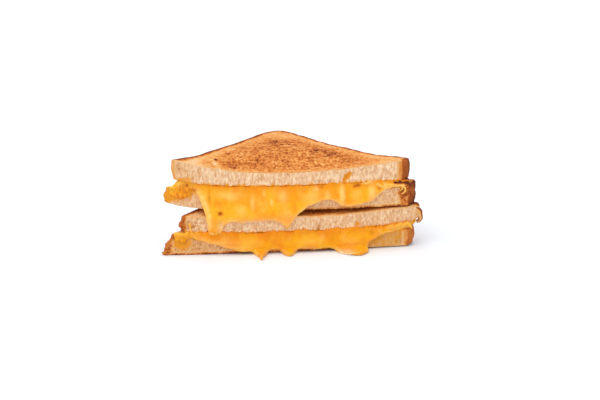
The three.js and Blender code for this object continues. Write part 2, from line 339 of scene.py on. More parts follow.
def move_to(piece, places):
    flat = ((places + CUT_MIDDLE) * MM).astype(np.float32).ravel()
    piece.data.vertices.foreach_set("co", flat)
    piece.data.update()


def normals_of(piece):
    flat = np.empty(len(piece.data.vertices) * 3, np.float32)
    piece.data.vertex_normals.foreach_get("vector", flat)
    return flat.reshape(-1, 3).astype(float)


def mark(piece, **amounts):
    """Keeps numbers on the mesh for its material to read, one for each corner."""
    for name, amount in amounts.items():
        layer = piece.data.attributes.new(name, "FLOAT", "POINT")
        layer.data.foreach_set("value", np.clip(amount, 0, 1).astype(np.float32))


def tube(way, rounds=12, steps=6):
    """A closed rope along a way of (x, y, z, radius), with round ends."""
    line = spline(way, steps)
    centre, radius = line[:, :3], line[:, 3]
    ahead = np.gradient(centre, axis=0)
    ahead /= np.linalg.norm(ahead, axis=1)[:, None]
    side = np.cross(ahead, (0.05, 1, 0.03))
    side /= np.linalg.norm(side, axis=1)[:, None]
    up = np.cross(side, ahead)
    turn = np.arange(rounds) * 2 * math.pi / rounds
    rings = []
    caps = [(-math.cos(a), math.sin(a)) for a in np.linspace(0.15, math.pi / 2, 4)[:-1]]
    order = [(0, *cap) for cap in caps]
    order += [(i, 0, 1) for i in range(len(line))]
    order += [(len(line) - 1, -out, size) for out, size in reversed(caps)]
    for i, out, size in order:
        middle = centre[i] + ahead[i] * radius[i] * out
        spokes = np.cos(turn)[:, None] * side[i] + np.sin(turn)[:, None] * up[i]
        rings.append(middle + spokes * radius[i] * size)
    places = np.vstack(rings)
    ring, step = np.meshgrid(np.arange(len(order) - 1), np.arange(rounds), indexing="ij")
    after = (step + 1) % rounds
    near, far = ring * rounds, (ring + 1) * rounds
    quads = np.stack([near + step, far + step, far + after, near + after], -1).reshape(-1, 4)
    lids = [np.arange(rounds), np.arange(rounds)[::-1] + len(places) - rounds]
    return places, quads.tolist() + [lid.tolist() for lid in lids]


# ------------------------------------------------------------------------ bread

class Bake(NamedTuple):
    """How a slice has browned."""

    griddled_over: bool  # the griddled face is the upper one
    left_crust: float  # browning of the crust at the left end, from 0 to 1
    right_crust: float
    crust_depth: float  # how much deeper the crust is seen at the left end than elsewhere
    torn_left: float  # how deep the crust is torn
    torn_right: float
    coarse_left: float  # how open its crumb is at the left end, and how dark its gaps are painted as shade
    coarse: float  # and elsewhere
    soaked: float  # how far butter and cheese have coloured its crumb, from 0 to 1
    singed_and_shaded: float  # how dark the edge between its griddled face and the cut is: singed crust, and painted shade where it rests on the floor or the half below
    seed: float
    singed_and_shaded_span: tuple = (-90, 95)  # x where that edge begins and where it ends
    peeled: float = 0  # how far its crust has come off beside the right end of the cut
    lifted: float = 0  # how far its lower edge at the cut stands off what is under it


# distances in from the crust, from where something sets in to where it has its full effect
CRUST_ENDS = (0.9, 2.0)
GRIDDLE_SETS_IN = (4.5, 13.5)
RIM_LINE = (6.2, 2)
GOLD_STRIP = (5.6, 1.6)

# the same behind the cut
BLEMISHED = (4, 0.5)
SINGED_AND_SHADED = (2, 0.5)
CRUMBLY = (1.5, 0)
PEELED = (13, 4)
LIFTED = (16, 0)
CHEESE_CREEPS = (9, 3)
CRUST_FADES = (8, 26)
FAR_CORNER_PALES = (68, 54)

# the same in from an end of the slice
CRUST_THINS = np.array([2, 12])
TORN_LEFT = (4.5, 0)
TORN_RIGHT = (5, 0)

# the same along the cut, as x
LEFT_END_BROWNS = (-66, -40)
RIGHT_END_PALES = (44, 62)
CRUST_DARKENS = (-60, 30)
COARSE_LEFT_ENDS = (-62, -35)
LEFT_END_SOAKED = (-50, -72)
RIGHT_SOAKED = (-20, 50)
LIFTED_FROM = (-72, -30)
PEELED_FROM = (66, 74)
GOLD_FROM = (58, 68)


def pores(places, size, share, seed):
    """Depth of the open bubbles in the crumb, from 0 to 1; only a share of the cells has one."""
    depths = []
    for place in (places / size + seed).tolist():
        warp = noise.noise_vector([1.3 * c for c in place]) * 0.35
        distances, centres = noise.voronoi(Vector(place) + warp)
        chance = 0.5 + 0.5 * noise.cell(centres[0] * 7.3)
        radius = 0.25 + 0.4 * chance if chance > 1 - share else 0.0
        depths.append(max(0.0, 1 - distances[0] / radius) if radius else 0.0)
    return np.sqrt(np.array(depths))


class Scorch(NamedTuple):
    x: float
    y: float
    half_width: float
    half_depth: float
    strength: float


TOP_SCORCHES = [
    Scorch(-3, 52.5, 9, 2.2, 0.14),
    Scorch(2, 47, 6, 2, 0.06),
    Scorch(21.5, 31.5, 4.5, 3.2, 0.32),
    Scorch(29, 24, 4, 3.6, 0.24),
    # a dark spot painted as the shade in a small burst bubble, with an unbrowned spot in front of it
    Scorch(-46.7, 18.7, 0.9, 1.4, 0.6),
    Scorch(-47.4, 12.4, 1.8, 2.6, -0.6),
]


class Blemish(NamedTuple):
    """An uneven spot of a cut: how deep, how brown and how covered in cheese it is."""

    x: float
    z: float
    half_width: float
    half_height: float
    depth: float
    browned: float
    cheesy: float


def spots(marks, across, up, amount):
    """Sum of round-edged spots, each as strong as its amount says."""
    total = 0 * across
    for mark in marks:
        x, z, half_width, half_height = mark[:4]
        beside = getattr(mark, amount) * bump_at(across, x, half_width)
        total += beside * bump_at(up, z, half_height)
    return total


def slice_plan(plan):
    """Fills the plan of a slice; also gives the line of its crust from end to end of the cut."""
    crust = crust_line(plan)

    def cut(u):
        x = lerp(plan.cut_left[0], plan.cut_right[0], u)
        return np.stack([x, cut_line(plan, x)], -1)

    ends = cut(np.array([0.0, 1.0]))
    tip = np.linspace(ends[0], crust[0], 12)
    bend = arc(ends[1], np.array(plan.corner, float), crust[-1])
    in_plan = patch(cut, line_through(crust), line_through(tip), line_through(bend))
    return in_plan, np.vstack([tip, crust[1:], bend[::-1][1:]])


def smooth_slice(plan, under, over, bake, cells):
    """Corners of a slice before it is baked, and how far they are from its crust, cut and faces."""
    in_plan, outline = slice_plan(plan)
    corners, quads = skin(cells)
    u, v, w = corners.T
    inward = crowded(v)
    plan_places = in_plan(u, inward)
    from_crust = distance_to(outline, plan_places)
    halfway = 4 * w * (1 - w)
    at_crust = np.maximum.reduce([fade(0, 0.1, inward), fade(0.97, 1, u), fade(0.03, 0, u)])
    swell = CRUST_SWELL * halfway * at_crust
    x, y = (plan_places + outward(in_plan, plan_places) * swell[:, None]).T
    before = cut_line(plan, x)
    x = x + plan.lean * w * (1 - u) ** LEAN_SPREAD
    x = x + 0.4 * plan.ragged * np.sin(9 * w + 2 * v) * (1 - u) ** TEAR_SPREAD
    y = y + cut_line(plan, x) - before
    near = np.clip(from_crust / CRUST_ROUND, 0, 1)
    edge = CRUST_EDGE * (1 - np.sqrt(1 - (1 - near) ** 2))
    height = height_of(over, x, y) - height_of(under, x, y)
    z = lerp(height_of(under, x, y), height_of(over, x, y), w) + edge * (1 - 2 * w)
    from_griddle = np.where(bake.griddled_over, 1 - w, w) * height
    return SimpleNamespace(
        places=np.stack([x, y, z], -1), quads=quads, x=x, y=y, z=z, halfway=halfway,
        from_crust=from_crust, from_cut=y - cut_line(plan, x),
        from_griddle=from_griddle, from_cheese=height - from_griddle,
    )


def bake_slice(at, bake):
    """Adds the grain of a slice in several sizes, its crust, its open crumb and its lifted edge."""
    at.broad = grain(at.places, 9, bake.seed)
    at.mid = grain(at.places, 3.2, bake.seed + 5)
    at.fine = grain(at.places, 1.1, bake.seed + 9)
    at.fibres = grain(at.places * (1, 1, 0.4), 1.0, bake.seed + 13)
    at.strands = grain(at.places * (1, 1, 0.3), 1.7, bake.seed + 21)
    at.bubbles = np.maximum(
        pores(at.places * (1, 1, 0.7), 2.6, 0.1, bake.seed),
        0.35 * pores(at.places * (1, 1, 0.5), 1.3, 0.5, bake.seed + 3),
    )
    at.on_griddle = 1 - fade(0, 1, at.from_griddle)
    at.on_cut = fade(*BLEMISHED, at.from_cut + 2 * at.mid + at.fine)
    depth = lerp(bake.crust_depth, 1, fade(*CRUST_THINS + at.x.min(), at.x))
    is_crust = 1 - fade(*CRUST_ENDS, (at.from_crust + 0.5 * at.mid + 0.25 * at.fine) / depth)
    peeled = bake.peeled * fade(*PEELED, at.from_cut + 3 * at.mid + at.fine)
    at.is_crust = is_crust * (1 - peeled * fade(*PEELED_FROM, at.x))
    at.open_crumb = (1 - at.is_crust) * lerp(1, 0.25, at.on_griddle)
    at.lifted = bake.lifted * fade(*LIFTED, at.from_cut) * fade(*LIFTED_FROM, at.x)


def roughened(at, bake, blemishes, normals):
    """Opens the crumb of a slice, tears its crust and crumbles the edges of its cut."""
    relief = -0.55 * at.bubbles + 0.12 * at.mid + 0.2 * at.fibres + 0.3 * at.strands
    relief = relief * at.open_crumb + (0.16 * at.broad + 0.1 * at.fine) * at.is_crust
    torn = bake.torn_left * fade(*TORN_LEFT, at.x - at.x.min())
    torn = torn + bake.torn_right * fade(*TORN_RIGHT, at.x.max() - at.x)
    relief -= torn * (at.mid + 0.6 * at.fine) * fade(0, 0.15, at.halfway)
    relief += 0.3 * bump_at(at.from_crust, 2.4, 1.2) * at.on_griddle
    relief -= spots(blemishes, at.x, at.z, "depth") * at.on_cut * (1 + 0.6 * at.fine)
    places = at.places + normals * relief[:, None]
    crumbly = fade(1.6, 0, at.from_cheese) + 0.35 * fade(1.6, 0, at.from_griddle)
    crumbly = crumbly * fade(*CRUMBLY, at.from_cut)
    places[:, 2] += (0.6 * at.fine + 0.4 * at.mid) * crumbly * (1 - at.is_crust)
    places[:, 2] = np.maximum(places[:, 2], at.lifted)
    return places


def toasted(at, scorches):
    """Browning of the griddled face, which fades out down the cut."""
    pale_ends = fade(*LEFT_END_BROWNS, at.x + 6 * at.broad + 2 * at.mid)
    pale_ends = pale_ends * (1 - 0.4 * fade(*RIGHT_END_PALES, at.x + 4 * at.broad))
    griddled = fade(*GRIDDLE_SETS_IN, at.from_crust + 3.5 * at.broad + 1.5 * at.mid)
    griddled = griddled * fade(-1, 6, at.from_cut + 3 * at.mid)
    griddled = griddled * lerp(0.35, 1, fade(*FAR_CORNER_PALES, at.y + 4 * at.broad))
    scorched = spots(scorches, at.x, at.y, "strength") * (1 + 0.7 * at.mid + 0.5 * at.fine)
    toast = at.on_griddle * (pale_ends * lerp(0.26, 0.48, griddled) + 0.12 + scorched)
    golden = 0.16 * np.exp(-np.maximum(at.from_griddle, 0) / 1.6)
    return np.maximum(toast, golden * (1 - at.on_griddle))


def crust_brown(at, bake):
    brown = lerp(bake.left_crust, bake.right_crust, fade(*CRUST_DARKENS, at.x))
    brown = brown * lerp(0.86, 0.94, fade(-0.5, 4, at.from_cut))
    brown = brown * lerp(1, 0.84, fade(*CRUST_FADES, at.from_cut)) + 0.1 * at.broad + 0.08 * at.mid
    return at.is_crust * brown


def rim_line(at):
    """The darkest line, round the griddled face."""
    line = 0.92 * fade(*RIM_LINE, at.from_crust + at.mid + 0.7 * at.fine)
    return line * fade(1.6, 0.4, at.from_griddle) * fade(0.5, 3, at.from_cut)


def singed_and_shaded_edge(at, bake):
    """The dark edge between the griddled face and the cut: singed crust, and painted shade where it
    rests on the floor or on the half below.
    """
    start, end = bake.singed_and_shaded_span
    edge_height = 0.9 + 0.6 * bake.singed_and_shaded
    singe_and_shade = bake.singed_and_shaded * bump_at(np.maximum(at.from_griddle - at.lifted, 0), 0, edge_height)
    singe_and_shade = singe_and_shade * fade(*SINGED_AND_SHADED, at.from_cut) * (0.8 + 0.5 * at.mid + 0.5 * at.fine)
    return singe_and_shade * fade(-8, 8, at.x - start) * fade(8, -8, at.x - end)


def gold_end(at, bake):
    """The crust shows golden before it goes round the right end."""
    gold = (0.55 + 0.3 * at.strands) * fade(*GOLD_STRIP, at.from_crust + 0.6 * at.strands)
    return gold * fade(*GOLD_FROM, at.x) * (1 - bake.peeled) * (1 - at.on_griddle)


def browned_spots(at, blemishes):
    browned = spots(blemishes, at.x, at.z, "browned") + 0.35 * at.mid + 0.35 * at.fine
    return (0.78 + 0.3 * at.fine) * fade(0.1, 1, browned) * at.on_cut * (1 - at.on_griddle)


def pore_shading(at, bake):
    """Painted shade in the gaps and open bubbles of the crumb: how dark they are."""
    coarse = lerp(bake.coarse_left, bake.coarse, fade(*COARSE_LEFT_ENDS, at.x))
    open_pores = fade(0.2 - 0.25 * coarse, 0.7 - 0.35 * coarse, -at.fibres)
    dark_gaps = coarse * fade(0, 0.4, -0.45 * at.strands - 0.75 * at.fine - 0.2 * at.mid)
    return np.maximum.reduce([at.bubbles, 0.7 * open_pores, dark_gaps]) * at.open_crumb


def stained(at, bake, blemishes, places):
    """Where melted cheese has crept up the crumb in teeth, or covers it."""
    teeth = grain(places * (1, 1, 0.35), 1.7, bake.seed + 17)
    crept = fade(0.5, -0.5, at.from_cheese - 0.6 - 1.6 * teeth)
    crept = crept * lerp(0.2, 1, fade(*CHEESE_CREEPS, at.from_cut + 4 * at.mid))
    cheesy = spots(blemishes, at.x, at.z, "cheesy") + 0.45 * at.strands + 0.3 * at.fine
    return np.maximum(crept * (1 - at.is_crust), fade(0.3, 0.7, cheesy) * at.on_cut)


def soaked(at, bake):
    less_soaked = lerp(1, lerp(0.35, 1, fade(*RIGHT_SOAKED, at.x)), bake.coarse)
    soak = bake.soaked * (1 + 0.6 * at.mid + 0.5 * at.broad) * less_soaked
    return soak + 0.2 * fade(*LEFT_END_SOAKED, at.x)


def bread_slice(name, plan, under, over, bake, cells, scorches=(), blemishes=()):
    at = smooth_slice(plan, under, over, bake, cells)
    bake_slice(at, bake)
    piece = new_piece(name, at.places, at.quads)
    places = roughened(at, bake, blemishes, normals_of(piece))
    move_to(piece, places)
    browns = [
        crust_brown(at, bake), rim_line(at), singed_and_shaded_edge(at, bake), gold_end(at, bake),
        browned_spots(at, blemishes),
    ]
    mark(
        piece,
        toast=toasted(at, scorches),
        crust=np.maximum.reduce(browns),
        # painted shade in the gaps of the crumb
        pore=pore_shading(at, bake),
        stain=stained(at, bake, blemishes, places),
        soak=soaked(at, bake),
    )
    return piece


CURL_WAY = [(82.6, 25.5), (85.4, 23.4), (86.5, 18.8), (85.5, 15.7), (84, 15.3)]
CURL_DEPTH = 5  # how far behind the cut its middle is
CURL_WIDTH = 6.5
CURL_THICKNESS = 2.2
CURL_FILL = 3.8  # crumb that still hangs on its inner side near the slice
CURL_CELLS = (60, 14, 6)


def curled_crust(name):
    """The loose strip of crust that curls off the right end of the lower half."""
    corners, quads = skin(CURL_CELLS)
    u, v, w = corners.T
    way = spline([(x, 0, z) for x, z in CURL_WAY], 12)
    middle = along_line(way, u)
    ahead = along_line(way, np.clip(u + 0.01, 0, 1)) - along_line(way, np.clip(u - 0.01, 0, 1))
    ahead /= np.linalg.norm(ahead, axis=1)[:, None]
    out = np.stack([-ahead[:, 2], ahead[:, 1], ahead[:, 0]], -1)
    round_side = np.sqrt(1 - (1 - np.clip(4 * v * (1 - v) * 2.2, 0, 1)) ** 2)
    taper = lerp(1, 0.55, fade(0.6, 1, u))
    to_slice = (0.5 - w) * 2 * fade(0.8, 0.3, u) * CURL_FILL
    across = (w - 0.5) * CURL_THICKNESS * lerp(0.5, 1, round_side) * taper - np.maximum(0, to_slice)
    places = middle + out * across[:, None]
    places[:, 1] = CURL_DEPTH + (v - 0.5) * CURL_WIDTH * taper
    piece = new_piece(name, places, quads)
    rough = 0.35 * grain(places, 2.4, 5.5) + 0.15 * grain(places, 1.0, 6.5)
    move_to(piece, places + normals_of(piece) * rough[:, None])
    mark(
        piece,
        toast=0 * u,
        crust=0.9 * fade(0.3, 0.65, w + 0.2 * grain(places, 2, 7.5)),
        # painted shade in the pores of the curl
        pore=fade(0.1, 0.6, grain(places, 1.2, 8.5)),
        stain=0 * u,
        soak=0.5 + 0 * u,
    )
    return piece


# ----------------------------------------------------------------------- cheese

class Fold(NamedTuple):
    """A swelling of the hanging cheese, or a dent where its height is below 0."""

    x: float
    z: float
    half_width: float
    half_height: float
    height: float


class Apron(NamedTuple):
    """Where the cheese has run out to a thin film that the bread shows through."""

    x: float
    z: float
    half_width: float
    half_height: float
    thinned: float


LAYER_CELLS = (220, 22, 6)
LAYER_SUNK = 0.5
CURTAIN_SUNK = 0.1
SHADED_DEPTH = (18, 9)  # how far behind the cut the painted shade at the right end of a layer reaches
CURTAIN_COLUMNS = 430
INSIDE_SHARE = 0.07  # how far the curtain reaches into its layer, as a share of the layer
INSIDE_ROWS = 5
SHOULDER_ROWS = 9
HANGING_ROWS = 54
RIM_ROUND = 2.4  # how far in from the hem it is rounded
RIM_NARROWS = (-44, -24)  # x where the painted highlight along its rim goes over from wide to narrow
SKIN_CELL = 0.42  # size of the cells from which the curtain's skin is made
CHEESE_MARKS = ("rim", "coat", "apron", "deep", "raised", "upper")
ON_A_ROPE = (0.5, 0, 0, 0, 0.2, 0)  # the same marks where the skin comes from a rope, with a painted highlight on its rim and swelling


class Cheese(NamedTuple):
    """One sheet of melted cheese and the slices that it meets."""

    hem: list
    own: Slice  # the slice that it lies on
    roof: Slice  # the slice over it
    below: Slice  # the slice that it hangs down to
    ledge: tuple  # heights between which it goes over from own to below, against the bread
    drape: tuple  # the same on the side that is seen
    rim_from: tuple  # heights between which the painted highlight along its rim begins
    shaded_from: tuple  # where between its slices, at its right end, it is painted dark as shade in the gap
    under: Level
    over: Level
    folds: list
    aprons: list
    ropes: list  # strings and beads, each a way of (x, z, how far proud of the bread, radius)


UPPER_FOLDS = [
    Fold(-40, 38, 7, 2.6, 0.7),
    Fold(-24.7, 33.5, 1.3, 4, 0.7),
    Fold(-17, 39.4, 0.9, 1.8, 0.6),
    Fold(-12.4, 34, 1.1, 1.9, 0.8),
    Fold(-10.9, 35.6, 0.6, 0.6, -0.8),
    Fold(-45.5, 27.5, 1.8, 1.4, -1.5),
    Fold(-52, 38, 1.2, 6, -0.7),
    Fold(-62, 42, 2.5, 1.2, -1.2),
    Fold(-66, 45, 1.2, 1.0, -1.6),
    Fold(-71, 46, 1.0, 1.2, 0.9),
    Fold(-2, 26, 5, 4, 0.4),
    Fold(-46, 34, 5, 5, -0.5),
    Fold(-32, 29, 3, 3, 0.5),
    Fold(-5, 37, 3, 4, 0.6),
    Fold(2, 31, 2, 5, -0.5),
    Fold(13, 37, 6, 4, 0.5),
    Fold(24, 36.5, 2.2, 3, 0.7),
    Fold(20, 42, 2, 1.6, -0.9),
    Fold(29.6, 38, 1.6, 5, -0.5),
    Fold(33.2, 37.5, 1.5, 4.6, 1.5),
    Fold(37.2, 38, 1.6, 4, -0.35),
    Fold(43, 36, 4, 4, 0.5),
    Fold(43.8, 42.5, 2.4, 1.3, -1.35),
    Fold(41.2, 42, 1.4, 1.1, -0.9),
    Fold(49.2, 44.6, 3.2, 1.1, 1.8),
    Fold(52.6, 38, 1.9, 3.6, 1.5),
    Fold(48, 36, 1.2, 4, -0.35),
    Fold(57.5, 41, 1.3, 2.6, -0.9),
    Fold(44, 35.5, 3.6, 2.4, -0.3),
    Fold(17, 41.5, 2, 1.2, 0.9),
    Fold(10, 40.5, 1.4, 2.2, -0.5),
    Fold(61.5, 42.5, 1.4, 1.6, 1.2),
    Fold(66, 43.5, 1.0, 1.4, 1.0),
    Fold(70, 43.8, 4.4, 0.8, -3.0),
    Fold(76.5, 43.4, 2.8, 2.6, -1.8),
]
LOWER_FOLDS = [
    Fold(-30, 8, 14, 2.5, 0.4),
    Fold(-47, 8.4, 9, 1.4, 0.7),
    Fold(-34, 5, 9, 1.2, 0.7),
    Fold(-1.4, 10, 0.9, 1.5, 0.5),
    Fold(-2.6, 10.6, 0.5, 0.6, -0.4),
    Fold(-43, 11, 3, 1.6, 0.6),
    Fold(-16, 9, 2, 3, -0.4),
    Fold(12, 7, 9, 2.5, 0.4),
    Fold(20, 10, 1.6, 2, 0.6),
    Fold(27, 8, 2, 4, -0.5),
    Fold(34, 9, 2, 3, 0.5),
    Fold(40, 5, 5, 4, 0.5),
    Fold(53, 11, 2, 2, -0.7),
    Fold(58, 12, 1.4, 1.4, 0.8),
]
UPPER = Cheese(
    UPPER_HEM, UPPER_BOTTOM, UPPER_TOP, LOWER_TOP, (29.2, 33.7), (23, 41), (16, 20), (67, 71),
    UPPER_CHEESE_UNDER, UPPER_CHEESE_OVER, UPPER_FOLDS,
    [Apron(-22, 20, 15, 3.4, 1), Apron(-45.6, 18.6, 2.2, 3.6, 0.8)],
    [
        [(-60, 41, 0.8, 0.7), (-57.2, 35.4, 1.2, 0.8), (-54.8, 29.2, 1.4, 0.9), (-53.4, 22, 1.3, 0.9),
         (-52.4, 16.5, 1.2, 0.9), (-52.2, 14.5, 1.0, 0.8)],
        [(-50.6, 19, 1.1, 0.8), (-50.6, 16, 1.1, 1.1), (-50.8, 14.2, 1.0, 0.9)],
        [(-48.4, 19, 1.1, 0.8), (-48.4, 16, 1.1, 1.1), (-48.4, 14.4, 1.0, 0.9)],
        [(-46.4, 19, 1.0, 0.7), (-46.3, 16, 1.0, 0.9), (-46, 14.6, 0.9, 0.8)],
        [(56, 43.5, 0.9, 0.7), (60, 41.5, 1.3, 0.8), (64, 43, 1.1, 0.7), (66.5, 41.5, 0.9, 0.6)],
        [(68.5, 41.6, 0.9, 0.5), (71, 42, 1.1, 0.45), (72.6, 40.2, 0.8, 0.4), (71.2, 38.4, 0.6, 0.4)],
        [(72, 41.6, 0.8, 0.4), (74.4, 40.4, 0.9, 0.45), (74.2, 38, 0.8, 0.4), (72.6, 36.4, 0.6, 0.45)],
    ],
)
LOWER = Cheese(
    LOWER_HEM, LOWER_BOTTOM, LOWER_TOP, LOWER_BOTTOM, (0, 1), (0, 1), (-14, 3), (90, 91),
    LOWER_CHEESE_UNDER, LOWER_CHEESE_OVER, LOWER_FOLDS,
    [Apron(33.5, -7, 6, 4.5, 1.2)],
    [
        [(-65.2, 21, 0.9, 0.6), (-64.4, 17, 1.3, 0.7), (-62.4, 12.5, 1.3, 0.8), (-59, 10, 1, 0.7)],
        [(63, 13.6, 0.7, 0.9), (65.5, 14.4, 0.9, 1.4), (68, 14, 0.7, 0.8), (70.5, 15.2, 0.9, 1.3)],
        [(71.5, 15.6, 0.7, 1.4), (74, 15.4, 0.9, 0.8), (76, 16.4, 1.2, 1.5), (78.4, 14.6, 1.2, 1.3),
         (79.6, 12.8, 0.9, 0.7)],
    ],
)


def layer_plan(cheese, hem):
    """Plan of the cheese between its slices, from the lip at the cut to the rim at the back."""

    def lip(u):
        x = along_line(hem, u)[:, 0]
        deepest = np.maximum(cut_line(cheese.own, x), cut_line(cheese.roof, x))
        return np.stack([x, deepest + LIP_DEPTH], -1)

    rim = crust_line(cheese.roof, CHEESE_INSET)
    ends = lip(np.array([0.0, 1.0]))
    left = np.linspace(ends[0], rim[0], 12)
    right = np.linspace(ends[1], rim[-1], 12)
    return patch(lip, line_through(rim), line_through(left), line_through(right))


def top_and_bottom(cheese, x, y, sunk):
    """Heights of the cheese between its slices; it sinks a little into both."""
    bottom = height_of(cheese.under, x, y) - sunk
    start = cheese.roof.cut_left[0]
    covered = fade(start - 2, start + 5, x)
    top = lerp(bottom + FILM_THICKNESS, height_of(cheese.over, x, y) + sunk, covered)
    return top, bottom


def cheese_layer(name, cheese, seed):
    """The cheese between two slices; it bulges a little past them all round the back."""
    in_plan = layer_plan(cheese, spline(cheese.hem))
    corners, quads = skin(LAYER_CELLS)
    u, v, w = corners.T
    plan_places = in_plan(u, crowded(v))
    x, y = plan_places.T
    left_side = in_plan(np.zeros(20), np.linspace(0, 1, 20))
    outline = np.vstack([left_side, crust_line(cheese.roof, CHEESE_INSET)])
    near = fade(3, 0, distance_to(outline, plan_places))
    swell = 1.0 + 2.2 * grain(np.stack([x, y, 0 * y], -1), 10, seed)
    swell = swell * near * np.sqrt(4 * w * (1 - w))
    x, y = (plan_places + outward(in_plan, plan_places) * swell[:, None]).T
    top, bottom = top_and_bottom(cheese, x, y, LAYER_SUNK)
    piece = new_piece(name, np.stack([x, y, lerp(bottom, top, w)], -1), quads)
    # painted shade in the gap at its right end
    mark(piece, deep=fade(*cheese.shaded_from, x) * fade(*SHADED_DEPTH, y))
    return piece


def wall(cheese, x, z, outer):
    """Front of the bread that the cheese hangs before; outer is 1 on the side that is seen."""
    own_front = cut_line(cheese.own, x)
    furthest = np.minimum(own_front, cut_line(cheese.below, x))
    low = np.where(outer > 0, cheese.drape[0], cheese.ledge[0])
    high = np.where(outer > 0, cheese.drape[1], cheese.ledge[1])
    return lerp(furthest, own_front, fade(low, high, z))


def unrolled_curtain(cheese, u, outer, row, seed):
    """The curtain from inside the cut down to its hem, as yet without a thickness."""
    hem = spline(cheese.hem)
    into = INSIDE_SHARE * np.clip(1 - row / INSIDE_ROWS, 0, 1)
    x, y = layer_plan(cheese, hem)(u, into).T
    top, bottom = top_and_bottom(cheese, x, y, CURTAIN_SUNK)
    start_z = lerp(bottom, top, outer)
    hang = along_line(hem, u)[:, 1]
    bend = np.where(outer > 0, np.minimum(OUTER_BEND, start_z - hang - 1), INNER_BEND)
    turn = np.clip((row - INSIDE_ROWS) / SHOULDER_ROWS, 0, 1) * math.pi / 2
    share = np.clip((row - INSIDE_ROWS - SHOULDER_ROWS) / HANGING_ROWS, 0, 1)
    hanging = lerp(start_z - bend, hang, 1 - (1 - share) ** 1.15)
    z = np.where(turn < math.pi / 2, start_z - bend * (1 - np.cos(turn)), hanging)
    from_hem = distance_to(hem, np.stack([x, z], -1))
    # the left end thins out to a film with a fringe
    fullness = fade(FILM_END - 3, FILM_END + 5, x)
    along = np.stack([x, 0 * x, 0 * x], -1)
    fringe = grain(along, 1.1, seed + 3) + 0.5 * grain(along, 2.6, seed)
    z = z - 2.2 * fringe * share**2 * (1 - fullness)
    return SimpleNamespace(
        x=x, y=y, z=z, outer=outer, start_z=start_z, hang=hang, turn=turn, along=along,
        from_hem=from_hem, fullness=fullness, down=start_z - z,
        relief=spots(cheese.folds, x, z, "height"), thinned=spots(cheese.aprons, x, z, "thinned"),
    )


def curtain_thickness(at):
    thickness = lerp(FILM_THICKNESS - 0.4, CURTAIN_THICKNESS - 0.5, at.fullness)
    thickness = thickness + 0.4 * bump_at(at.from_hem, 1.5, 1.0) * at.fullness
    thickness = thickness * lerp(0.3, 1, fade(0, 9, at.down))
    thickness = thickness * (1 - 0.75 * at.thinned) + at.relief
    thickness = thickness * np.sqrt(1 - (1 - np.clip(at.from_hem / RIM_ROUND, 0, 1)) ** 2)
    return np.maximum(thickness, 0.15) * at.outer


def draped(cheese, at, thickness, seed):
    """Hangs the curtain before the bread, and lays on the floor what is too long for it."""
    # it creeps up the crumb over it in short teeth
    teeth = grain(at.along, 1.7, seed) * 1.2 + grain(at.along, 5, seed + 6) * 1.6 + 0.3
    teeth = 2.4 * np.clip(teeth, 0, 1) * at.outer * np.sin(at.turn)
    z = at.z + teeth * np.exp(-((at.down / 1.6) ** 2))
    face = wall(cheese, at.x, np.maximum(z, 0), at.outer) + CLING * (1 - at.outer) - thickness
    front = lerp(at.y, face, np.sin(at.turn))
    past = FLOOR_BEND - z
    on_floor = (at.hang < 0) & (past > 0)
    turned = np.clip(past / FLOOR_BEND, 0, 1)
    run = np.maximum(0, past - FLOOR_BEND)
    front = np.where(on_floor, front - FLOOR_TURN * turned**2 - run, front)
    laid = lerp(FLOOR_BEND, FLOOR_GAP * (at.outer > 0) + thickness, np.sin(turned * math.pi / 2))
    return np.stack([at.x, front, np.where(on_floor, laid, np.maximum(z, FLOOR_GAP))], -1)


def curtain_marks(cheese, at):
    """What the paint of the curtain reads, in the order of CHEESE_MARKS."""
    apron = np.clip(at.thinned * 1.3, 0, 1)
    rim = bump_at(at.from_hem, 0.7, lerp(2, 1.1, fade(*RIM_NARROWS, at.x)))
    return np.stack([
        # the rounded rim along the hem, which the paint lightens as a painted highlight
        rim * at.fullness * (1 - apron) * fade(*cheese.rim_from, at.z),
        1 - at.fullness,
        apron * lerp(1, 0.75, fade(0.5, 3, at.from_hem)),
        # dents, which the paint darkens as shade
        np.clip(-at.relief / 2, 0, 1),
        # swellings, which the paint lightens as a painted highlight
        np.clip(at.relief / 0.9, 0, 1),
        # how near its top it is, where the paint darkens it as shade under the slice
        np.exp(-at.down / 2.2),
    ], -1)


def hanging_cheese(name, cheese, seed):
    """The cheese that comes out of the cut, bends over it and hangs down to its hem."""
    rows = INSIDE_ROWS + SHOULDER_ROWS + HANGING_ROWS
    corners, quads = skin((CURTAIN_COLUMNS, 1, rows))
    u, outer, w = corners.T
    at = unrolled_curtain(cheese, u, outer, np.rint(w * rows), seed)
    places = draped(cheese, at, curtain_thickness(at), seed)
    ropes = []
    for way in cheese.ropes:
        x, z, proud, radius = np.array(way).T
        ropes.append(tube(np.stack([x, wall(cheese, x, z, 1) - proud, z, radius], -1)))
    facing_out = [quad[::-1] for quad in quads]
    return melted(name, places, facing_out, curtain_marks(cheese, at), ropes, seed)


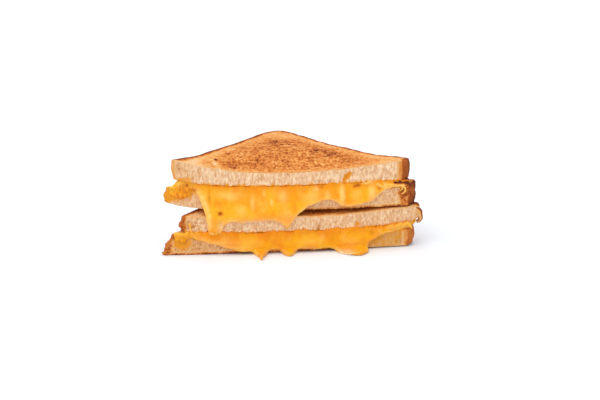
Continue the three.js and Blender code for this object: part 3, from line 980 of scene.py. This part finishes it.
def melted(name, places, quads, marks, ropes, seed):
    """Runs a sheet and the ropes on it into one skin with soft edges."""
    faces = list(quads)
    for rope_places, rope_faces in ropes:
        faces += [[len(places) + corner for corner in face] for face in rope_faces]
        places = np.vstack([places, rope_places])
        marks = np.vstack([marks, np.tile(ON_A_ROPE, (len(rope_places), 1))])
    piece = new_piece(name, places, faces)
    remesh = piece.modifiers.new("one skin", "REMESH")
    remesh.mode = "VOXEL"
    remesh.voxel_size = SKIN_CELL * MM
    soften = piece.modifiers.new("soften", "SMOOTH")
    soften.factor = 0.6
    soften.iterations = 5
    sheet_and_ropes = piece.data
    one_skin = piece.evaluated_get(bpy.context.evaluated_depsgraph_get())
    piece.data = bpy.data.meshes.new_from_object(one_skin)
    piece.modifiers.clear()
    bpy.data.meshes.remove(sheet_and_ropes)
    piece.data.shade_smooth()

    now = places_of(piece)
    tree = tree_of(places)
    nearest = [tree.find(place)[1] for place in now.tolist()]
    at = dict(zip(CHEESE_MARKS, marks[nearest].T))
    lumps = 0.6 * grain(now, 8, seed) + 0.4 * grain(now, 3.2, seed + 4) + 0.1 * grain(now, 1.3, seed)
    lumps += at["coat"] * (0.5 * grain(now, 2.2, seed + 7) + 0.3 * grain(now, 1.1, seed + 2))
    now = now + normals_of(piece) * lumps[:, None]
    now[:, 2] = np.maximum(now[:, 2], 0.02)
    move_to(piece, now)
    mark(piece, **at)
    return piece


# -------------------------------------------------------------------- materials

class Field:
    """A number, colour or vector that changes over a surface: one socket of a paint's nodes."""

    def __init__(self, paint, socket):
        self.paint = paint
        self.socket = socket

    def maths(self, operation, first, second):
        made = self.paint.node("ShaderNodeMath", {"operation": operation})
        for socket, number in zip(made.socket.node.inputs, (first, second)):
            self.paint.feed(socket, number)
        return made

    def __add__(self, other):
        return self.maths("ADD", self, other)

    def __radd__(self, other):
        return self.maths("ADD", other, self)

    def __sub__(self, other):
        return self.maths("SUBTRACT", self, other)

    def __rsub__(self, other):
        return self.maths("SUBTRACT", other, self)

    def __mul__(self, other):
        return self.maths("MULTIPLY", self, other)

    def __rmul__(self, other):
        return self.maths("MULTIPLY", other, self)

    def clamped(self):
        made = self.maths("ADD", self, 0.0)
        made.socket.node.use_clamp = True
        return made

    def larger(self, other):
        return self.maths("MAXIMUM", self, other)

    def between(self, low, high):
        """0 below low and 1 above high, smooth between them."""
        return self.paint.node(
            "ShaderNodeMapRange", {"interpolation_type": "SMOOTHSTEP"},
            Value=self, From_Min=low, From_Max=high,
        )


class Paint:
    """A material under way: its node tree, and the nodes that most of its fields start from."""

    def __init__(self, name):
        self.material = bpy.data.materials.new(name)
        self.material.use_nodes = True
        self.tree = self.material.node_tree
        self.tree.nodes.clear()
        self.place = self.node("ShaderNodeTexCoord", output="Object")

    def feed(self, socket, value):
        if isinstance(value, Field):
            self.tree.links.new(value.socket, socket)
        elif socket.type == "RGBA":
            socket.default_value = (*value, 1)
        else:
            socket.default_value = value

    def node(self, kind, settings=None, output=0, **sockets):
        """Any node: its settings, then the values or links of its sockets."""
        made = self.tree.nodes.new(kind)
        for name, setting in (settings or {}).items():
            if name == "stops":
                fill_ramp(made.color_ramp, setting)
            else:
                setattr(made, name, setting)
        for name, value in sockets.items():
            self.feed(made.inputs[name.replace("_", " ")], value)
        return Field(self, made.outputs[output])

    def attribute(self, name):
        return self.node("ShaderNodeAttribute", {"attribute_name": name}, output="Fac")

    def noise(self, size, detail=3, stretch=(1, 1, 1)):
        """Cloudy noise from 0 to 1, its size in millimetres."""
        place = self.node("ShaderNodeMapping", Vector=self.place, Scale=stretch)
        return self.node(
            "ShaderNodeTexNoise", Vector=place, Scale=1 / (size * MM), Detail=detail, Roughness=0.55
        )

    def mixed(self, share, first, second):
        """The first colour where share is 0, the second where it is 1."""
        made = self.node("ShaderNodeMix", {"data_type": "RGBA"}).socket.node
        colours = [socket for socket in made.inputs if socket.type == "RGBA"]
        for socket, value in zip([made.inputs["Factor"], *colours], (share, first, second)):
            self.feed(socket, value)
        return Field(self, next(socket for socket in made.outputs if socket.type == "RGBA"))

    def ramp(self, value, stops):
        return self.node("ShaderNodeValToRGB", {"stops": stops}, Fac=value)

    def bump(self, height, distance, strength):
        return self.node(
            "ShaderNodeBump", Height=height, Distance=distance * MM, Strength=strength
        )

    def finish(self, **sockets):
        surface = self.node("ShaderNodeBsdfPrincipled", **sockets)
        self.feed(self.tree.nodes.new("ShaderNodeOutputMaterial").inputs["Surface"], surface)
        return self.material


def fill_ramp(ramp, stops):
    while len(ramp.elements) < len(stops):
        ramp.elements.new(1)
    for element, (position, colour) in zip(ramp.elements, stops):
        element.position = position
        element.color = (*colour, 1)


BREAD_MARKS = ("toast", "crust", "pore", "stain", "soak")

# colours are linear
PALE_CRUMB = (0.99, 0.735, 0.475)
# darker crumb between the fibres: partly its grain, partly painted shade
CRUMB_SHADE_BETWEEN_FIBRES = (0.68, 0.355, 0.15)
ROSY_CRUMB = (0.86, 0.55, 0.36)
# painted shade in the pores of the crumb, deepest at their bottoms
PORE_WALL_SHADE = (0.60, 0.305, 0.14)
PORE_BOTTOM_SHADE = (0.36, 0.13, 0.045)
SOAKED_CRUMB = (0.68, 0.29, 0.03)
CHEESE_STAIN = (0.80, 0.30, 0.018)
BROWNING = [  # from raw crumb to burnt crust
    (0.0, (0.78, 0.50, 0.29)),
    (0.2, (0.81, 0.46, 0.19)),
    (0.4, (0.74, 0.32, 0.085)),
    (0.58, (0.63, 0.21, 0.036)),
    (0.76, (0.45, 0.112, 0.018)),
    (0.9, (0.26, 0.056, 0.009)),
    (1.0, (0.11, 0.02, 0.004)),
]

YELLOW_CHEESE = ((0.90, 0.33, 0.004), (0.93, 0.42, 0.010))
ORANGE_CHEESE = ((0.84, 0.285, 0.001), (0.90, 0.40, 0.001))
PALE_CLOUD = (0.95, 0.52, 0.08)
# painted shade where the cheese comes out under the slice over it
SHADE_UNDER_THE_SLICE = (0.76, 0.21, 0.003)
# painted highlight on the swellings and folds
HIGHLIGHT_ON_SWELLINGS = (0.96, 0.60, 0.18)
# painted highlight along the rounded rim at the hem
HIGHLIGHT_ON_RIM = (0.97, 0.64, 0.22)
DARK_STREAK = (0.64, 0.17, 0.006)
LIGHT_STREAK = (0.97, 0.57, 0.06)
APRON_EDGE = (0.90, 0.53, 0.24)
APRON_FILM = (0.93, 0.65, 0.41)
# painted shade in dents and in the gap at a layer's right end, darkest in deep holes
DENT_AND_GAP_SHADE = (0.66, 0.19, 0.004)
HOLE_SHADE = (0.13, 0.018, 0.004)

PALE_FLOOR = (0.83, 0.87, 0.92)


def bread_paint():
    paint = Paint("toasted bread")
    toast, crust, pore, stain, soak = map(paint.attribute, BREAD_MARKS)
    cloud = paint.noise(14, 3)
    blotch = paint.noise(4.5, 4)
    fine = paint.noise(0.9, 3)
    fibre = paint.noise(1.25, 3, (1, 1, 0.4))
    speck = paint.noise(1.5, 2, (1, 0.6, 1))
    drawn = paint.noise(3.2, 3, (0.45, 1, 1))

    # pale fibres with darker crumb between them, partly grain and partly painted shade
    crumb = paint.mixed(fibre.between(0.31, 0.69), PALE_CRUMB, CRUMB_SHADE_BETWEEN_FIBRES)
    crumb = paint.mixed(blotch.between(0.42, 0.66) * 0.4, crumb, ROSY_CRUMB)
    # the pores of the crumb darkened as painted shade
    crumb = paint.mixed((pore * 0.65).clamped(), crumb, PORE_WALL_SHADE)
    crumb = paint.mixed(pore.between(0.7, 1.0) * 0.7, crumb, PORE_BOTTOM_SHADE)
    crumb = paint.mixed((soak * 1.15).clamped(), crumb, SOAKED_CRUMB)
    heat = (toast * (0.6 * cloud + 0.9 * blotch + 2.1 * speck + 1.0 * drawn - 1.27)).clamped()
    crusty = crust * (0.78 + 0.3 * blotch + 0.12 * fine)
    browned = heat.larger(crusty)
    colour = paint.mixed(browned.between(0.02, 0.2), crumb, paint.ramp(browned, BROWNING))
    colour = paint.mixed((stain * (0.75 + 0.5 * speck)).clamped(), colour, CHEESE_STAIN)
    return paint.finish(
        Base_Color=colour,
        Roughness=(0.72 + 0.2 * fine).clamped(),
        Normal=paint.bump(blotch * 0.5 + fine, 0.25, 0.6),
        Specular_IOR_Level=0.15,
    )


def cheese_paint(name, darker, lighter, paleness):
    paint = Paint(name)
    rim, coat, apron, deep, raised, upper = map(paint.attribute, CHEESE_MARKS)
    cloud = paint.noise(13, 3, (1, 1, 0.7))
    wisps = paint.noise(7, 3, (1, 1, 0.5))
    ripple = paint.noise(3.5, 3)
    streaks = paint.noise(1.5, 3, (1, 1, 0.35))

    colour = paint.mixed(cloud.between(0.4, 0.6), darker, lighter)
    layers = [
        (wisps.between(0.5, 0.75) * (0.5 * paleness), PALE_CLOUD),
        # painted shade near the top, under the slice over it, except on the film
        ((upper * (1 - coat) * (0.2 + 1.5 * ripple)).clamped(), SHADE_UNDER_THE_SLICE),
        # painted highlight on the swellings
        ((raised * (0.85 * paleness)).clamped(), HIGHLIGHT_ON_SWELLINGS),
        # painted highlight along the rim
        ((rim * (1.5 * ripple)).clamped() * paleness, HIGHLIGHT_ON_RIM),
        ((coat * (5.0 * streaks - 2.1)).clamped(), DARK_STREAK),
        ((coat * upper * (3.0 * streaks - 0.6)).clamped(), LIGHT_STREAK),
        ((apron * 0.9).clamped(), APRON_EDGE),
        (apron.between(0.7, 1.0) * 0.8, APRON_FILM),
        # painted shade in dents and in the gap at the right end
        (deep.between(0.05, 0.6), DENT_AND_GAP_SHADE),
        (deep.between(0.5, 0.9), HOLE_SHADE),
    ]
    for share, layer in layers:
        colour = paint.mixed(share, colour, layer)
    return paint.finish(
        Base_Color=colour,
        Roughness=(0.28 + 0.2 * ripple).clamped(),
        Normal=paint.bump(ripple + paint.noise(1.0, 2) * 0.2, 0.35, 0.5),
        Subsurface_Weight=0.3,
        Subsurface_Radius=(1.0, 0.45, 0.1),
        Subsurface_Scale=2 * MM,
        Specular_IOR_Level=0.17,
    )


def floor_paint():
    return Paint("pale floor").finish(Base_Color=PALE_FLOOR, Roughness=0.9, Specular_IOR_Level=0.1)


# --------------------------------------------------------------------- assembly

TOP_BAKE = Bake(
    griddled_over=True, left_crust=0.4, right_crust=1.0, crust_depth=1.5,
    torn_left=0.3, torn_right=0.2, coarse_left=0.9, coarse=0.35,
    soaked=0, singed_and_shaded=0.12, seed=11.3,
)
# its lower edge over the lower half is darkened partly as painted shade
UPPER_BOTTOM_BAKE = Bake(
    griddled_over=False, left_crust=0.6, right_crust=1.0, crust_depth=2,
    torn_left=0.6, torn_right=0.9, coarse_left=0.2, coarse=0.8,
    soaked=0.14, singed_and_shaded=0.8, seed=23.7, singed_and_shaded_span=(-50, 95),
)
LOWER_TOP_BAKE = Bake(
    griddled_over=True, left_crust=0.8, right_crust=0.85, crust_depth=2.6,
    torn_left=1.3, torn_right=0.5, coarse_left=1, coarse=0.8,
    soaked=0.06, singed_and_shaded=0.4, seed=37.1, peeled=1,
)
# its edge along the floor is darkened partly as painted contact shade
LOWER_BOTTOM_BAKE = Bake(
    griddled_over=False, left_crust=0.75, right_crust=0.85, crust_depth=3.6,
    torn_left=2.3, torn_right=0.8, coarse_left=2.2, coarse=1,
    soaked=0.66, singed_and_shaded=1.1, seed=49.9, singed_and_shaded_span=(-84, 40), lifted=0.9,
)

TOP_BLEMISHES = [
    Blemish(38.2, 50.6, 1.5, 1.5, 1.6, 0.3, 1.2),
    Blemish(36, 48.6, 1.6, 1.8, 2.0, 0.3, 1.2),
    Blemish(34.6, 46.2, 1.3, 1.6, 1.2, 0, 1.2),
    Blemish(-68, 49.5, 5, 1.2, 0.3, 0, 0.9),
]
UPPER_BOTTOM_BLEMISHES = [
    Blemish(74.2, 35.5, 4.2, 8, 0.9, 1.3, 0),
    Blemish(76, 32.9, 1.2, 1.2, 0.3, -1.2, 0),
    Blemish(-78, 38.6, 6, 4.6, 0, 0, 1.2),
    Blemish(-68, 40, 8, 3.8, 0, 0, 1.1),
    Blemish(-71.5, 43.4, 2.2, 1, -0.3, 0, -1),
    Blemish(-81, 35.5, 2, 2.6, 0.4, 0.9, 0),
]
LOWER_TOP_BLEMISHES = [
    Blemish(18, 16.4, 0.9, 1.8, 1.6, 0.7, 0.4),
    Blemish(43.2, 17, 1.6, 1.6, 1, 0.3, 1),
    Blemish(8, 15.6, 0.7, 1.4, 1, 0.5, 0.3),
    Blemish(-69.5, 19, 2.8, 7, 0.6, 0.9, 0),
    Blemish(85, 24, 2.6, 4.5, 0.4, 0.9, 0),
]
LOWER_BOTTOM_BLEMISHES = [
    Blemish(-71, 7.5, 5.5, 4, 0.4, 0, 1.1),
    Blemish(-79.5, 4, 3.5, 7, 0.6, 1, 0),
    Blemish(-75, 12, 3, 3, 0.4, 0.8, 0),
    Blemish(66, 12, 7, 1.5, 0, 0, 0.9),
]

FINE_CELLS = (320, 60, 26)  # where the griddled face is seen
PLAIN_CELLS = (320, 36, 26)
BREADS = {
    "upper_top_bread": (
        UPPER_TOP, UPPER_CHEESE_OVER, UPPER_HALF_TOP,
        TOP_BAKE, FINE_CELLS, TOP_SCORCHES, TOP_BLEMISHES,
    ),
    "upper_bottom_bread": (
        UPPER_BOTTOM, UPPER_HALF_UNDER, UPPER_CHEESE_UNDER,
        UPPER_BOTTOM_BAKE, PLAIN_CELLS, (), UPPER_BOTTOM_BLEMISHES,
    ),
    "lower_top_bread": (
        LOWER_TOP, LOWER_CHEESE_OVER, LOWER_HALF_TOP,
        LOWER_TOP_BAKE, PLAIN_CELLS, (), LOWER_TOP_BLEMISHES,
    ),
    "lower_bottom_bread": (
        LOWER_BOTTOM, FLOOR, LOWER_CHEESE_UNDER,
        LOWER_BOTTOM_BAKE, PLAIN_CELLS, (), LOWER_BOTTOM_BLEMISHES,
    ),
}


def serve(piece, node, material):
    piece.data.materials.clear()
    piece.data.materials.append(material)
    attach(piece, "root")
    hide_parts(node)


bread_material = bread_paint()
for node, how in BREADS.items():
    serve(bread_slice(node + "_slice", *how), node, bread_material)

serve(curled_crust("lower_top_bread_curl"), "lower_top_bread", bread_material)

yellow_cheese = cheese_paint("yellow melted cheese", *YELLOW_CHEESE, paleness=0.85)
orange_cheese = cheese_paint("orange melted cheese", *ORANGE_CHEESE, paleness=0.45)
CHEESES = [
    ("upper_cheese", UPPER, yellow_cheese, 3.3),
    ("lower_cheese", LOWER, orange_cheese, 8.8),
]
for node, cheese, material, seed in CHEESES:
    serve(cheese_layer(node + "_layer", cheese, seed), node, material)
    serve(hanging_cheese(node + "_curtain", cheese, seed), node, material)


# ------------------------------------------------------------- floor and lights

FLOOR_REACH = 3.0  # metres
DAYLIGHT = 0.92
WINDOW_SIDE = (-0.42, -0.16, 0.88)
WINDOW_BRIGHTNESS = 1.35
WINDOW_WIDTH = math.radians(60)


def lay_floor():
    mesh = bpy.data.meshes.new("floor")
    corners = [(-1, -1), (1, -1), (1, 1), (-1, 1)]
    places = [(x * FLOOR_REACH, y * FLOOR_REACH, 0) for x, y in corners]
    mesh.from_pydata(places, [], [(0, 1, 2, 3)])
    mesh.materials.append(floor_paint())
    floor = bpy.data.objects.new("floor", mesh)
    bpy.context.scene.collection.objects.link(floor)


def open_window():
    """Even daylight from one side, as from a wide window far away."""
    light = bpy.data.lights.new("window", "SUN")
    light.energy = WINDOW_BRIGHTNESS
    light.angle = WINDOW_WIDTH
    lamp = bpy.data.objects.new("window", light)
    lamp.rotation_euler = Vector(WINDOW_SIDE).to_track_quat("Z", "Y").to_euler()
    bpy.context.scene.collection.objects.link(lamp)


def light_the_room():
    world = bpy.data.worlds.new("room")
    world.use_nodes = True
    walls = world.node_tree.nodes["Background"]
    walls.inputs["Color"].default_value = (1, 1, 1, 1)
    walls.inputs["Strength"].default_value = DAYLIGHT
    bpy.context.scene.world = world


lay_floor()
light_the_room()
open_window()
bpy.context.scene.view_settings.view_transform = "Standard"


# ----------------------------------------------------------------------- camera

ELEVATION = math.radians(17)
AZIMUTH = math.radians(-7.5)
DISTANCE = 800
MM_PER_PIXEL = 0.65
PICTURE_WIDTH, PICTURE_HEIGHT = 600, 400
CUT_PIXEL = (291, 251.2)  # where the middle of the cut on the floor shows
SENSOR_WIDTH = 36


def place_camera():
    back = Vector((
        math.sin(AZIMUTH) * math.cos(ELEVATION),
        -math.cos(AZIMUTH) * math.cos(ELEVATION),
        math.sin(ELEVATION),
    ))
    right = Vector((0, 0, 1)).cross(back).normalized()
    up = back.cross(right)
    across = (CUT_PIXEL[0] - PICTURE_WIDTH / 2) * MM_PER_PIXEL
    down = (CUT_PIXEL[1] - PICTURE_HEIGHT / 2) * MM_PER_PIXEL
    place = Vector(CUT_MIDDLE) + back * DISTANCE - right * across + up * down
    data = bpy.data.cameras.new("camera")
    data.sensor_width = SENSOR_WIDTH
    data.lens = SENSOR_WIDTH * DISTANCE / MM_PER_PIXEL / PICTURE_WIDTH
    camera = bpy.data.objects.new("camera", data)
    turned = Matrix((right, up, back)).transposed().to_4x4()
    camera.matrix_world = Matrix.Translation(place * MM) @ turned
    bpy.context.scene.collection.objects.link(camera)
    bpy.context.scene.camera = camera


place_camera()
